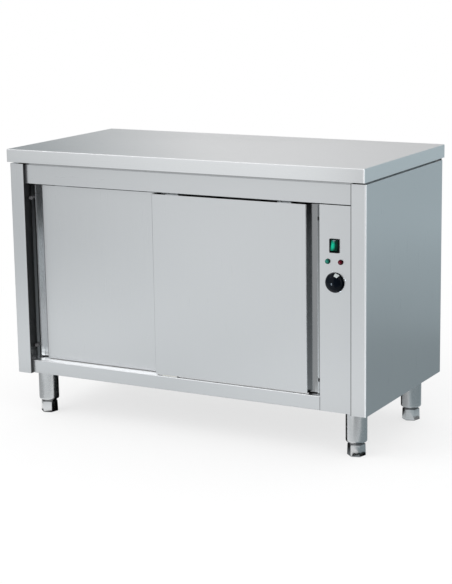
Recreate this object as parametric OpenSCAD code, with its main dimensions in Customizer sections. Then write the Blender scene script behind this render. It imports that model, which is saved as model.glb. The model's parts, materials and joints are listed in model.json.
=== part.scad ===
// Plate warmer cabinet with two sliding doors on adjustable legs.
// Origin: centre of the footprint on the floor. X runs to the right, the front looks to -Y, Z is up.
// All sizes are in millimetres.

/* [Overall] */
// overall width over the worktop
body_w = 1200; // [1150:10:1260]
// overall depth over the worktop
body_d = 600; // [570:10:660]
// overall height from the floor
body_h = 850; // [840:5:900]
// height of the cabinet's underside
leg_h = 140; // [130:1:170]

/* [Worktop] */
// height of the folded worktop edge
top_h = 40; // [34:1:50]
// overhang at front and back
top_over = 15; // [10:1:20]
// overhang at each side
top_side = 1; // [0.5:0.5:4]
// outside radius of the worktop edge
edge_r = 3; // [2:0.5:5]
// width of the flange folded back under the edge
top_return = 24; // [22:1:30]

/* [Sheet] */
// thickness of the stainless sheet
sheet = 1.2; // [1:0.1:1.5]
// outside radius of a fold
bend_r = 2.5; // [2:0.1:3]

/* [Front frame] */
// width of each front post
post_w = 48; // [46:1:60]
// depth of the post's inner return
post_return = 38; // [30:1:44]
// setback of header, rail and control panel behind the posts
recess = 12; // [6:1:14]
// height of the header
header_h = 68; // [64:1:80]
// height of the bottom rail
rail_h = 42; // [36:1:50]
// width of the control panel
panel_w = 102; // [96:1:130]
// depth of the header's, rail's and panel's return flanges
flange = 22; // [16:1:26]

/* [Doors] */
// overlap of the two closed doors
door_overlap = 108; // [90:1:120]
// thickness of each door
door_t = 22; // [20:1:22]
// setback of the front door behind the header face
door_set = 7; // [6:0.5:9]
// gap between the two doors
door_gap = 4; // [3:0.5:5]
// gap between a door and the header
door_top_gap = 7; // [5:0.5:8]
// gap between a door and the base
door_base_gap = 3; // [2.5:0.5:4]
// gap between the rear door and the left post
door_left_gap = 10; // [8:1:12]
// gap between the front door and the control panel
door_right_gap = 8; // [7:1:12]
// width of the front door's finger channel
channel_right = 35; // [26:1:40]
// width of the rear door's finger channel
channel_left = 26; // [24:1:40]
// width of the guide slot in a door's lower edge
slot_w = 6; // [6:0.5:7]

/* [Door gear] */
// radius of a roller over its flanges
roller_r = 11.8; // [11:0.1:12.5]
// depth of the groove in a roller
groove_d = 1.5; // [1.2:0.1:2]
// width of a roller
roller_w = 8; // [7:0.5:8]
// radius of a roller's axle
axle_r = 3; // [2.5:0.1:3.5]
// running clearance of every turning pin, on the radius
run_gap = 0.05; // [0.03:0.01:0.08]
// gap between faces that slide past each other
face_gap = 0.3; // [0.3:0.05:0.5]
// thickness of a hanger plate
hanger_t = 2.5; // [2:0.1:3]
// distance of a hanger's centre from the end of the door's face
hanger_in = 70; // [50:1:110]

/* [Legs] */
// outside radius of a leg tube
leg_r = 31.5; // [28:0.5:34]
// distance of the leg centres from the sides of the worktop
leg_in = 63; // [60:1:80]
// distance of the front leg centres from the front edge
leg_front = 89; // [89:1:110]
// distance of the back leg centres from the back edge
leg_back = 100; // [70:1:120]
// height of the tube's lower end over the floor
foot_h = 43; // [40:1:60]
// radius of a foot
foot_r = 28; // [24:0.5:29]

/* [Seams] */
// gap that shows between the worktop and the body
top_gap = 6; // [5:0.5:7]
// gap that shows between the header and the control panel
seam = 2; // [1:0.5:3]

/* [Chamber] */
// height of the middle shelf's top over the base shelf
shelf_up = 293; // [200:1:380]
// height of the shelf's folded edge
shelf_edge = 25; // [20:1:30]
// thickness of the wool behind the back liner
back_wool = 31.4; // [25:0.1:45]
// distance from the top of the body to the chamber roof
roof_drop = 42; // [38:1:60]

/* [Controls] */
// height of the switch centre over the floor
switch_z = 624.5; // [600:0.5:660]
// distance of the switch centre from the panel's left edge
switch_x = 48; // [40:0.5:54]
// height of the lamps over the floor
lamp_z = 579; // [570:0.5:585]
// distance of the middle of the lamps from the panel's left edge
lamp_x = 47; // [40:0.5:54]
// spacing of the two lamps
lamp_pitch = 40; // [30:0.5:46]
// height of the knob over the floor
knob_z = 519.5; // [470:0.5:530]
// distance of the knob from the panel's left edge
knob_x = 49; // [42:0.5:56]
// radius of the knob
knob_r = 29; // [20:0.5:30]
// length of the knob
knob_len = 21; // [17:0.5:22]

/* [Fan heater] */
// height of the fan centre over the floor
fan_z = 450; // [440:1:460]
// distance of the fan centre behind the middle of the cabinet
fan_y = 75; // [40:1:100]
// radius of the impeller
fan_r = 75; // [60:1:80]
// number of impeller blades
blades = 12; // [8:1:16]
// radius of the heating ring
ring_r = 95; // [90:1:100]

/* [Hidden] */
$fn = 48;
steel = [0.80, 0.81, 0.82];
zinc = [0.66, 0.68, 0.70];
black = [0.06, 0.06, 0.07];
wool = [0.85, 0.80, 0.62];
nylon = [0.93, 0.93, 0.90];
green = [0.05, 0.62, 0.42];
red = [0.80, 0.12, 0.25];
brass = [0.80, 0.65, 0.35];
hw = body_w / 2;
hd = body_d / 2;
// body planes
side_x = hw - top_side;
in_x = side_x - post_w;
split_x = in_x - panel_w;
face_y = top_over - hd;
back_y = hd - top_over;
front_y = face_y + recess;
back_in = back_y - 2 * sheet;
body_top = body_h - top_h;
step_z = body_top - top_gap;
head_step = top_gap + 4;
step_in = 6;
z_floor = leg_h + rail_h;
z_head = body_top - header_h;
z_roof = body_top - roof_drop;
post_end = face_y + post_return;
edge_x = sheet + 0.2 - side_x;
back_liner_y = back_in - back_wool - sheet;
// doors
door_w = (in_x - door_left_gap + split_x - door_right_gap + door_overlap) / 2;
door_z = z_floor + door_base_gap;
door_h = z_head - door_top_gap - door_z;
right_x = split_x - door_right_gap - door_w;
left_x = door_left_gap - in_x;
right_y = front_y + door_set;
left_y = right_y + door_t + door_gap;
behind_y = left_y + door_t + 13;
fold = sheet;
// door gear
bead_r = 1.5;
ledge_t = 1.5;
track_low = z_head + 8.5;
ledge_top = track_low + ledge_t;
groove_r = roller_r - groove_d;
axle_z = ledge_top + bead_r + face_gap + groove_r;
hang_off = 9;
roller_off = hang_off + hanger_t + face_gap;
axle_len = roller_w + 2 * face_gap + 1;
web_off = roller_off + axle_len + 1;
ledge_in = roller_off + 0.7;
bead_off = roller_off + roller_w / 2;
screw_r = 2;
screw_hole = 2.1;
screw_head_r = 4;
track_x0 = 10 - in_x;
track_x1 = split_x - 10;
track_bolts = 5;
track_pitch = (track_x1 - track_x0 - 100) / (track_bolts - 1);
// legs
leg_x = hw - leg_in;
leg_y0 = leg_front - hd;
leg_y1 = hd - leg_back;
tube_t = 1.5;
plate_t = 2.5;
plate_w = 88;
plate_d = 70;
stem_r = 6;
insert_h = 26;
// shelf
shelf_z = z_floor + shelf_up;
shelf_low = shelf_z - shelf_edge;
rail_w = 20;
rail_t = 1.5;
// controls
knob_cx = split_x + knob_x;
switch_cx = split_x + switch_x;
lamp_cx = split_x + lamp_x;
hole_gap = 0.1;
bush_r = 5;
skirt_h = 3;
dome_r = knob_r - 1.2;
cap_h = knob_len * 0.71;
ball_r = (dome_r * dome_r + cap_h * cap_h) / (2 * cap_h);
mark_turn = 28;
shaft_r = 3;
lamp_r = 7;
sw_w = 30;
sw_h = 40;
sw_proud = 3;
win_w = 22.4;
win_h = 17.4;
sw_lip = 1.5;
rock_w = 21.6;
rock_tilt = -12;
pivot_y = front_y + 5;
pin_r = 1.5;
stat_d = 37;
pipe_run = 13;
pipe_up = 10;
pipe_rise = 80;
pipe_r = 1;
bulb_y = -body_d / 10;
bulb_in = 4;
bulb_l = 90;
bulb_r = 3.5;
// back panel and cable gland
fix_x = side_x - flange / 2 - 1;
fix_z = leg_h + 60;
fix_rows = 4;
fix_pitch = (body_top - leg_h - 130) / (fix_rows - 1);
vent_pitch = 20;
vent_h = 6;
vent_w = 90;
vent_z = leg_h + 160;
gland_x = split_x + 71;
gland_z = leg_h + 100;
gland_r = 8;
// fan heater
motor_r = fan_r * 0.56;
motor_len = 56;
house = 240;
house_d = 55;
house_x = split_x + sheet;
house_out = house_x + house_d;

// ---- shapes used by several pieces ----
module round_rect(w, d, r) {
  translate([r, 0]) square([w - 2 * r, d]);
  translate([0, r]) square([w, d - 2 * r]);
  translate([r, r]) circle(r);
  translate([w - r, r]) circle(r);
  translate([r, d - r]) circle(r);
  translate([w - r, d - r]) circle(r);
}

module block(a, b) {
  translate(a) cube([b[0] - a[0], b[1] - a[1], b[2] - a[2]]);
}

module rod_x(x0, x1, y, z, r) {
  translate([x0, y, z]) rotate([0, 90, 0]) cylinder(h = x1 - x0, r = r);
}

module rod_y(x, y0, y1, z, r) {
  translate([x, y1, z]) rotate([90, 0, 0]) cylinder(h = y1 - y0, r = r);
}

module slot_row_x(x0, len, pitch, n, y0, y1, z, high) {
  for (i = [0 : n - 1]) block([x0 + i * pitch, y0, z], [x0 + i * pitch + len, y1, z + high]);
}

// ---- worktop ----
module edge_profile(w) {
  translate([-w / 2, 0]) square([w, top_h - edge_r]);
  translate([edge_r - w / 2, 0]) square([w - 2 * edge_r, top_h]);
  for (s = [-1, 1]) translate([s * (w / 2 - edge_r), top_h - edge_r]) circle(edge_r);
}

module worktop() color(steel) difference() {
  intersection() {
    translate([0, hd, body_top]) rotate([90, 0, 0]) linear_extrude(body_d) edge_profile(body_w);
    translate([-hw, 0, body_top]) rotate([90, 0, 90]) linear_extrude(body_w) edge_profile(body_d);
  }
  block([sheet - hw, sheet - hd, body_top + sheet], [hw - sheet, hd - sheet, body_h - sheet]);
  block([top_return - hw, top_return - hd, body_top - 1], [hw - top_return, hd - top_return, body_top + 2 * sheet]);
}

module hat_profile() {
  hat_h = top_h - 2 * sheet;
  translate([-30, 0]) square([60, sheet]);
  for (s = [0, 1]) mirror([s, 0]) {
    translate([30 - sheet, 0]) square([sheet, hat_h]);
    translate([30 - sheet, hat_h - sheet]) square([18, sheet]);
  }
}

module top_stiffeners() color(zinc) {
  for (s = [-1, 1]) {
    translate([top_return + 10 - hw, s * body_d * 0.22, body_top + sheet])
      rotate([90, 0, 90]) linear_extrude(body_w - 2 * top_return - 20) hat_profile();
  }
}

// ---- side panels: front post, side and back flange in one folded sheet ----
module side_profile() {
  deep = back_y - face_y;
  difference() {
    round_rect(post_w, deep, bend_r);
    translate([sheet, sheet]) round_rect(post_w - 2 * sheet, deep - 2 * sheet, bend_r - sheet);
    translate([post_w - 2 * sheet, post_return]) square([4 * sheet, deep]);
    translate([flange, deep - 2 * sheet]) square([post_w, 4 * sheet]);
  }
}

module left_side() color(steel) difference() {
  union() {
    translate([-side_x, face_y, leg_h]) linear_extrude(step_z - leg_h) side_profile();
    for (z = [leg_h, step_z - sheet]) {
      block([sheet - side_x - 0.2, face_y + sheet - 0.2, z], [flange - side_x, back_in - 0.5, z + sheet]);
    }
    block([flange - sheet - side_x, post_end, step_z - sheet], [flange - side_x, back_in - 0.5, body_top]);
  }
  screw_holes(back_in + sheet / 2);
}

module right_side() mirror([1, 0, 0]) left_side();

module screw_holes(y0) {
  for (s = [-1, 1]) for (i = [0 : fix_rows - 1]) {
    rod_y(s * fix_x, y0, back_y + 2, fix_z + i * fix_pitch, screw_hole);
  }
}

module back_panel() color(zinc) difference() {
  block([bend_r - side_x, back_in, leg_h + sheet + 0.5], [side_x - bend_r, back_in + sheet, body_top - sheet - 0.5]);
  for (i = [0 : 5]) {
    block([split_x + 25, back_in - 1, vent_z + i * vent_pitch],
          [split_x + 25 + vent_w, back_in + 3, vent_z + vent_h + i * vent_pitch]);
  }
  rod_y(gland_x, back_in - 1, back_in + 3, gland_z, gland_r + hole_gap);
  screw_holes(back_in - 1);
}

module back_screws() color(zinc) {
  for (s = [-1, 1]) for (i = [0 : fix_rows - 1]) {
    rod_y(s * fix_x, back_in - 6, back_y + 0.1, fix_z + i * fix_pitch, screw_r);
    rod_y(s * fix_x, back_y, back_y + 2.2, fix_z + i * fix_pitch, screw_head_r);
  }
}

// ---- header, base, control panel ----
module header_profile() {
  deep = left_y + door_t + 4 - front_y;
  difference() {
    round_rect(deep + bend_r, header_h, bend_r);
    translate([sheet, sheet]) round_rect(deep + bend_r, header_h - 2 * sheet, bend_r - sheet);
    translate([5, -1]) square([deep, header_h / 2]);
    translate([deep, -1]) square([2 * bend_r, header_h + 2]);
    translate([-1, header_h - head_step]) square([step_in + 1, head_step + 1]);
  }
  translate([sheet / 2, header_h - head_step - sheet]) square([step_in - sheet / 2, sheet]);
  translate([step_in - sheet, header_h - head_step - sheet]) square([sheet, head_step + sheet]);
}

module header() color(steel) difference() {
  union() {
    translate([-in_x, front_y, z_head]) rotate([90, 0, 90]) linear_extrude(2 * in_x) header_profile();
    for (s = [0, 1]) mirror([s, 0, 0]) {
      block([in_x - sheet, front_y + sheet / 2, z_head + bend_r], [in_x, front_y + flange, body_top - head_step - sheet / 2]);
    }
  }
  track_holes();
}

module base_profile() {
  deep = back_in - front_y;
  difference() {
    round_rect(deep, rail_h, bend_r);
    translate([sheet, sheet]) round_rect(deep - 2 * sheet, rail_h - 2 * sheet, bend_r - sheet);
    translate([flange, -1]) square([deep, 11]);
  }
}

module base_shelf() color(steel) {
  translate([-in_x, front_y, leg_h]) rotate([90, 0, 90]) linear_extrude(in_x + split_x) base_profile();
  block([edge_x, post_end, z_floor - sheet], [1 - in_x, back_in, z_floor]);
  block([edge_x, back_in - sheet, leg_h + 10], [1 - in_x, back_in, z_floor]);
  for (x = [-in_x, split_x - sheet]) {
    block([x, front_y + sheet / 2, leg_h + sheet / 2], [x + sheet, front_y + flange, z_floor - bend_r]);
  }
}

module compartment_floor() color(zinc) difference() {
  union() {
    block([house_x, post_end, z_floor - sheet], [-edge_x, back_in, z_floor]);
    block([house_x, back_in - sheet, leg_h + 10], [-edge_x, back_in, z_floor]);
  }
  for (i = [0 : 7]) block([house_x + 20, i * 18 - 90, z_floor - 3], [house_x + 90, i * 18 - 84, z_floor + 1]);
}

module panel_profile() {
  deep = behind_y - front_y;
  difference() {
    round_rect(panel_w, deep + bend_r, bend_r);
    translate([sheet, sheet]) round_rect(panel_w - 2 * sheet, deep + bend_r, bend_r - sheet);
    translate([panel_w / 2, flange]) square([panel_w, deep]);
    translate([-1, deep]) square([panel_w + 2, 2 * bend_r]);
  }
}

module control_panel() color(steel) difference() {
  union() {
    translate([split_x, front_y, leg_h]) linear_extrude(z_head - seam - leg_h) panel_profile();
    block([split_x + sheet / 2, front_y + bend_r, leg_h], [in_x - sheet / 2, front_y + flange, leg_h + sheet]);
    block([split_x + bend_r, front_y + sheet / 2, leg_h], [in_x - bend_r, front_y + bend_r + 1, leg_h + sheet]);
    block([split_x + bend_r, front_y + sheet / 2, z_head - seam - sheet], [in_x - bend_r, front_y + 5, z_head - seam]);
  }
  rod_y(knob_cx, front_y - 1, front_y + 3, knob_z, bush_r + hole_gap);
  for (s = [-1, 1]) rod_y(lamp_cx + s * lamp_pitch / 2, front_y - 1, front_y + 3, lamp_z, lamp_r - 1 + hole_gap);
  block([switch_cx - sw_w / 2 + sw_lip - hole_gap, front_y - 1, switch_z - sw_h / 2 + sw_lip - hole_gap],
        [switch_cx + sw_w / 2 - sw_lip + hole_gap, front_y + 3, switch_z + sw_h / 2 - sw_lip + hole_gap]);
}

// ---- chamber linings ----
module left_liner() color(steel) block([-in_x - sheet, post_end, z_floor], [-in_x, back_liner_y + 20, body_top - sheet]);

module partition() color(steel) difference() {
  block([split_x, behind_y, leg_h + 5], [split_x + sheet, back_in, body_top - sheet]);
  for (i = [0 : 3]) for (j = [0 : 2]) {
    block([split_x - 1, fan_y - 105 + j * 75, fan_z - 105 + i * 20],
          [split_x + 3, fan_y - 45 + j * 75, fan_z - 99 + i * 20]);
  }
  for (i = [0 : 3]) for (j = [0 : 2]) {
    block([split_x - 1, fan_y - 105 + j * 75, fan_z + 40 + i * 20],
          [split_x + 3, fan_y - 45 + j * 75, fan_z + 46 + i * 20]);
  }
  rod_x(split_x - 1, split_x + 3, bulb_y, knob_z + pipe_rise, 2 * pipe_r);
}

module back_liner() color(steel) block([-in_x, back_liner_y, z_floor], [split_x, back_liner_y + sheet, z_roof]);

module top_liner() color(steel) {
  block([-in_x, behind_y, z_roof], [split_x, back_liner_y + sheet, z_roof + sheet]);
  block([-in_x, behind_y, z_roof], [split_x, behind_y + sheet, body_top - sheet]);
}

module insulation() color(wool) {
  block([sheet - side_x, post_end + 2, z_floor], [-in_x - sheet, back_liner_y + 18, body_top - 10]);
  block([-in_x, back_liner_y + sheet, z_floor], [split_x, back_in, body_top - 10]);
  block([-in_x, behind_y + sheet, z_roof + sheet], [split_x, back_liner_y - 1, body_top - 10]);
}

module middle_shelf() color(steel) difference() {
  block([1 - in_x, behind_y + 6, shelf_low], [split_x - 1, back_liner_y - 2, shelf_z]);
  block([1 + sheet - in_x, behind_y + 6 + sheet, shelf_low + sheet],
        [split_x - 1 - sheet, back_liner_y - 2 - sheet, shelf_z - sheet]);
  block([25 - in_x, behind_y + 30, shelf_low - 1], [split_x - 25, back_liner_y - 26, shelf_low + 2]);
}

module shelf_rails() color(steel) {
  for (s = [0, 1]) {
    translate([s * (split_x - in_x), 0, 0]) mirror([s, 0, 0]) {
      block([-in_x, behind_y + 10, shelf_low - rail_t], [rail_w - in_x, back_liner_y - 5, shelf_low]);
      block([-in_x, behind_y + 10, shelf_low - rail_w], [rail_t - in_x, back_liner_y - 5, shelf_low]);
    }
  }
}

// ---- door track, guide and stops ----
module track_rail(y0) {
  block([track_x0, y0 + web_off, track_low], [track_x1, y0 + web_off + ledge_t, body_top - sheet - ledge_t + 0.1]);
  block([track_x0, y0 + ledge_in, track_low], [track_x1, y0 + web_off + ledge_t, ledge_top]);
  rod_x(track_x0, track_x1, y0 + bead_off, ledge_top, bead_r);
}

module track_spots() {
  for (i = [0 : track_bolts - 1]) translate([track_x0 + 50 + i * track_pitch, right_y + hang_off - 4, 0]) children();
}

module track_holes() {
  track_spots() translate([0, 0, body_top - 8]) cylinder(h = 16, r = screw_hole);
}

module door_track() color(zinc) difference() {
  union() {
    block([track_x0, right_y + 1, body_top - sheet - ledge_t],
          [track_x1, left_y + web_off + ledge_t, body_top - sheet]);
    track_rail(right_y);
    track_rail(left_y);
  }
  track_holes();
}

module track_screws() color(zinc) {
  track_spots() {
    translate([0, 0, body_top - sheet - ledge_t - 2]) cylinder(h = 2, r = 4);
    translate([0, 0, body_top - sheet - ledge_t - 1]) cylinder(h = 12, r = screw_r);
    translate([0, 0, body_top]) cylinder(h = 3, r = 4, $fn = 6);
  }
}

module floor_guide() color(nylon) {
  guide_c = (right_x + left_x + door_w) / 2 - 5;
  block([guide_c - 25, right_y + 2, z_floor], [guide_c + 25, left_y + door_t - 2, door_z - 0.5]);
  for (y0 = [right_y, left_y]) {
    block([guide_c - 13, y0 + (door_t - slot_w) / 2 + 0.4, z_floor], [guide_c + 13, y0 + (door_t + slot_w) / 2 - 0.4, door_z + 7]);
  }
}

module door_bumpers() color(black) {
  for (z = [door_z + 40, door_z + door_h - 40]) {
    for (y0 = [right_y, left_y]) {
      rod_x(-in_x, left_x - 0.5, y0 + door_t / 2, z, 5);
      rod_x(split_x - door_right_gap + 0.5, split_x, y0 + door_t / 2, z, 5);
    }
  }
}

// ---- doors, drawn with the face at y = 0 and the finger channel at the right end ----
module skin_profile(c) {
  difference() {
    round_rect(door_w - c, 2 * door_t, bend_r);
    translate([fold, fold]) round_rect(door_w - c - 2 * fold, 2 * door_t, bend_r - fold);
    translate([-1, door_t - fold]) square([door_w, 2 * door_t]);
  }
  translate([door_w - c - fold, door_t - 2 * fold]) square([c + fold, fold]);
  translate([door_w - fold, fold / 2]) square([fold, door_t - 1.5 * fold]);
  translate([door_w - fold / 2, fold / 2]) circle(fold / 2);
}

module skin_cap(c, d) {
  intersection() {
    round_rect(door_w - c, 2 * door_t, bend_r);
    square([door_w - c, d]);
  }
}

module door_skin(c) color(steel) difference() {
  union() {
    linear_extrude(door_h) skin_profile(c);
    translate([0, 0, door_h - fold]) linear_extrude(fold) skin_cap(c, door_t - fold);
    linear_extrude(fold) skin_cap(c, (door_t - slot_w) / 2);
  }
  hanger_spots(c) for (s = [-1, 1]) translate([s * 15, door_t / 2 - 5, door_h - 4]) cylinder(h = 8, r = screw_hole);
}

module door_liner(c) color(steel) {
  block([0, door_t - fold, 0], [door_w, door_t, door_h]);
  block([fold, (door_t + slot_w) / 2, 0], [door_w - c - fold, door_t - fold / 2, fold]);
}

module door_core(c) color(wool) {
  block([bend_r, fold, 12], [door_w - c - bend_r, door_t - fold, door_h - fold]);
}

module hanger_spots(c) {
  for (x = [hanger_in, door_w - c - hanger_in]) translate([x, 0, 0]) children();
}

module hangers(c) color(zinc) {
  axle_up = axle_z - door_z;
  hanger_spots(c) difference() {
    union() {
      block([-22, 2, door_h], [22, hang_off + hanger_t, door_h + hanger_t]);
      block([-13, hang_off, door_h], [13, hang_off + hanger_t, axle_up]);
      rod_y(0, hang_off, hang_off + hanger_t, axle_up, 13);
      rod_y(0, hang_off, roller_off + axle_len - face_gap, axle_up, axle_r);
      rod_y(0, roller_off + roller_w + face_gap, roller_off + axle_len - face_gap, axle_up, axle_r + 2);
    }
    for (s = [-1, 1]) translate([s * 15, door_t / 2 - 5, door_h - 4]) cylinder(h = 12, r = screw_hole);
  }
}

module hanger_screws(c) color(zinc) {
  hanger_spots(c) for (s = [-1, 1]) translate([s * 15, door_t / 2 - 5, 0]) {
    translate([0, 0, door_h - fold]) cylinder(h = hanger_t + fold + 1, r = screw_r);
    translate([0, 0, door_h + hanger_t]) cylinder(h = 2, r = 3);
  }
}

module roller() {
  g = roller_w / 2;
  rotate([-90, 0, 0]) rotate_extrude() polygon([
    [axle_r + run_gap, 0], [roller_r - 0.6, 0], [roller_r, 0.6], [roller_r, g - 2.4], [groove_r, g - 1.9],
    [groove_r, g + 1.9], [roller_r, g + 2.4], [roller_r, roller_w - 0.6], [roller_r - 0.6, roller_w],
    [axle_r + run_gap, roller_w]]);
}

module at_right() translate([right_x, right_y, door_z]) children();

module at_left() translate([left_x + door_w, left_y, door_z]) mirror([1, 0, 0]) children();

module right_door_skin() at_right() door_skin(channel_right);
module right_door_liner() at_right() door_liner(channel_right);
module right_door_core() at_right() door_core(channel_right);
module right_hangers() at_right() hangers(channel_right);
module right_hanger_screws() at_right() hanger_screws(channel_right);
module left_door_skin() at_left() door_skin(channel_left);
module left_door_liner() at_left() door_liner(channel_left);
module left_door_core() at_left() door_core(channel_left);
module left_hangers() at_left() hangers(channel_left);
module left_hanger_screws() at_left() hanger_screws(channel_left);

module right_roller_a() color(nylon) translate([right_x + hanger_in, right_y + roller_off, axle_z]) roller();
module right_roller_b() color(nylon) {
  translate([right_x + door_w - channel_right - hanger_in, right_y + roller_off, axle_z]) roller();
}
module left_roller_a() color(nylon) {
  translate([left_x + channel_left + hanger_in, left_y + roller_off, axle_z]) roller();
}
module left_roller_b() color(nylon) translate([left_x + door_w - hanger_in, left_y + roller_off, axle_z]) roller();

// ---- legs and feet ----
module leg(x, y) color(steel) translate([x, y, 0]) {
  top = z_floor - sheet;
  difference() {
    union() {
      translate([0, 0, foot_h]) rotate_extrude() polygon([
        [leg_r - tube_t, 3], [leg_r - tube_t, top - foot_h - 1], [leg_r, top - foot_h - 1], [leg_r, 6],
        [leg_r - 0.5, 3.5], [leg_r - 1.6, 1.6], [leg_r - 3.5, 0.5], [leg_r - 5.5, 0], [leg_r - 5.5, 1.5],
        [leg_r - 3, 2]]);
      block([-plate_w / 2, -plate_d / 2, top - plate_t], [plate_w / 2, plate_d / 2, top]);
    }
  }
}

module leg_front_left() leg(-leg_x, leg_y0);
module leg_front_right() leg(leg_x, leg_y0);
module leg_back_left() leg(-leg_x, leg_y1);
module leg_back_right() leg(leg_x, leg_y1);

module leg_inserts() color(black) {
  for (x = [-leg_x, leg_x]) for (y = [leg_y0, leg_y1]) translate([x, y, foot_h + 3.2]) difference() {
    cylinder(h = insert_h, r = leg_r - tube_t);
    translate([0, 0, -1]) cylinder(h = insert_h + 2, r = stem_r + run_gap);
  }
}

module foot(x, y) color(steel) translate([x, y, 0]) {
  collar = foot_h - face_gap;
  intersection() {
    cylinder(h = 24, r = foot_r * 1.08, $fn = 6);
    rotate_extrude() polygon([[0, 0], [foot_r - 7, 0], [foot_r - 3, 1.5], [foot_r - 0.5, 8], [foot_r, 24], [0, 24]]);
  }
  translate([0, 0, 23.9]) rotate_extrude() polygon([
    [0, 0], [foot_r - 0.4, 0], [foot_r, 1.2], [foot_r, collar - 30], [foot_r - 2.5, collar - 24.6],
    [foot_r - 2.5, collar - 23.9], [0, collar - 23.9]]);
  translate([0, 0, foot_h - 1]) cylinder(h = insert_h + 36, r = stem_r);
}

module foot_front_left() foot(-leg_x, leg_y0);
module foot_front_right() foot(leg_x, leg_y0);
module foot_back_left() foot(-leg_x, leg_y1);
module foot_back_right() foot(leg_x, leg_y1);

// ---- controls ----
module knob() color(black) translate([knob_cx, front_y - 0.4, knob_z]) rotate([90, 0, 0]) difference() {
  union() {
    rotate_extrude() {
      square([knob_r, skirt_h]);
      intersection() {
        square([dome_r, knob_len]);
        translate([0, knob_len - ball_r]) circle(ball_r);
      }
    }
    rotate([0, 0, -mark_turn]) block([-1.3, dome_r - 9, skirt_h - 1], [1.3, dome_r + 0.6, knob_len - cap_h + 2]);
  }
  translate([0, 0, -1]) cylinder(h = 13, r = shaft_r);
  translate([0, 0, -1]) cylinder(h = 2.2, r = bush_r + 3);
}

module thermostat_shaft() color(zinc) rod_y(knob_cx, front_y - 12.4, front_y + 14, knob_z, shaft_r);

module thermostat() color(nylon) difference() {
  union() {
    block([knob_cx - 20, front_y + sheet, knob_z - 20], [knob_cx + 20, front_y + stat_d, knob_z + 20]);
    rod_y(knob_cx, front_y - 0.2, front_y + sheet + 1, knob_z, bush_r);
    for (s = [-1, 1]) block([knob_cx + s * 10 - 3, front_y + stat_d - 1, knob_z - 16], [knob_cx + s * 10 + 3, front_y + stat_d + 7, knob_z - 15]);
  }
  rod_y(knob_cx, front_y - 1, front_y + 15, knob_z, shaft_r + run_gap);
}

module thermostat_bulb() color(brass) {
  pipe_y = front_y + stat_d + pipe_run;
  pipe_z = knob_z + pipe_up;
  cap_z = knob_z + pipe_rise;
  rod_y(knob_cx, front_y + stat_d, pipe_y, pipe_z, pipe_r);
  translate([knob_cx, pipe_y, pipe_z]) sphere(pipe_r);
  translate([knob_cx, pipe_y, pipe_z]) cylinder(h = cap_z - pipe_z, r = pipe_r);
  translate([knob_cx, pipe_y, cap_z]) sphere(pipe_r);
  rod_y(knob_cx, pipe_y, bulb_y, cap_z, pipe_r);
  translate([knob_cx, bulb_y, cap_z]) sphere(pipe_r);
  rod_x(split_x - bulb_in, knob_cx, bulb_y, cap_z, pipe_r);
  rod_y(split_x - bulb_in, bulb_y - 2 * pipe_r, bulb_y + bulb_l, cap_z, bulb_r);
}

module switch_body() color(black) difference() {
  union() {
    translate([switch_cx - sw_w / 2, front_y, switch_z - sw_h / 2]) rotate([90, 0, 0])
      linear_extrude(sw_proud) round_rect(sw_w, sw_h, 2);
    block([switch_cx - sw_w / 2 + sw_lip, front_y - 0.5, switch_z - sw_h / 2 + sw_lip],
          [switch_cx + sw_w / 2 - sw_lip, front_y + 29, switch_z + sw_h / 2 - sw_lip]);
    for (i = [-1, 0, 1]) {
      block([switch_cx - 3, front_y + 28, switch_z + i * 11], [switch_cx + 3, front_y + 37, switch_z + i * 11 + 0.8]);
    }
  }
  block([switch_cx - win_w / 2, front_y - 10, switch_z - win_h], [switch_cx + win_w / 2, front_y + 15, switch_z + win_h]);
  rod_x(switch_cx - win_w / 2 - 1.5, switch_cx + win_w / 2 + 1.5, pivot_y, switch_z, pin_r + run_gap);
}

module switch_rocker() color(green) translate([switch_cx, pivot_y, switch_z]) rotate([rock_tilt, 0, 0]) {
  translate([-rock_w / 2, 0, 0]) rotate([90, 0, 90]) linear_extrude(rock_w)
    polygon([[-9.6, -15.4], [-7.8, -7.5], [-7.2, 0], [-7.8, 7.5], [-9.6, 15.4], [2, 16], [6, 12], [6, -12], [2, -16]]);
  rod_x(-win_w / 2 - 1.2, win_w / 2 + 1.2, 0, 0, pin_r);
}

module lens(x) translate([x, front_y - 1.2, lamp_z]) rotate([90, 0, 0]) {
  rotate_extrude() intersection() {
    square([lamp_r, 6.5]);
    union() {
      square([lamp_r, 2.5]);
      translate([0, -1.4]) circle(7.8);
    }
  }
}

module green_lens() color(green) lens(lamp_cx - lamp_pitch / 2);
module red_lens() color(red) lens(lamp_cx + lamp_pitch / 2);

module lamp_holders() color(black) {
  for (s = [-1, 1]) {
    rod_y(lamp_cx + s * lamp_pitch / 2, front_y - 1.2, front_y, lamp_z, lamp_r + 0.6);
    rod_y(lamp_cx + s * lamp_pitch / 2, front_y - 1, front_y + 22, lamp_z, lamp_r - 1);
    rod_y(lamp_cx + s * lamp_pitch / 2, front_y + sheet, front_y + 4, lamp_z, lamp_r + 1);
  }
}

// ---- fan heater ----
module fan_housing() color(zinc) difference() {
  block([house_x, fan_y - house / 2, fan_z - house / 2], [house_out, fan_y + house / 2, fan_z + house / 2]);
  block([house_x - 1, fan_y - house / 2 + sheet, fan_z - house / 2 + sheet],
        [house_out - sheet, fan_y + house / 2 - sheet, fan_z + house / 2 - sheet]);
  rod_x(house_out - 3, house_out + 1, fan_y, fan_z, 8);
  for (s = [-1, 1]) rod_x(house_out - 3, house_out + 1, fan_y + s * 12, fan_z - ring_r + 0.8, 3.6);
}

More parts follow.
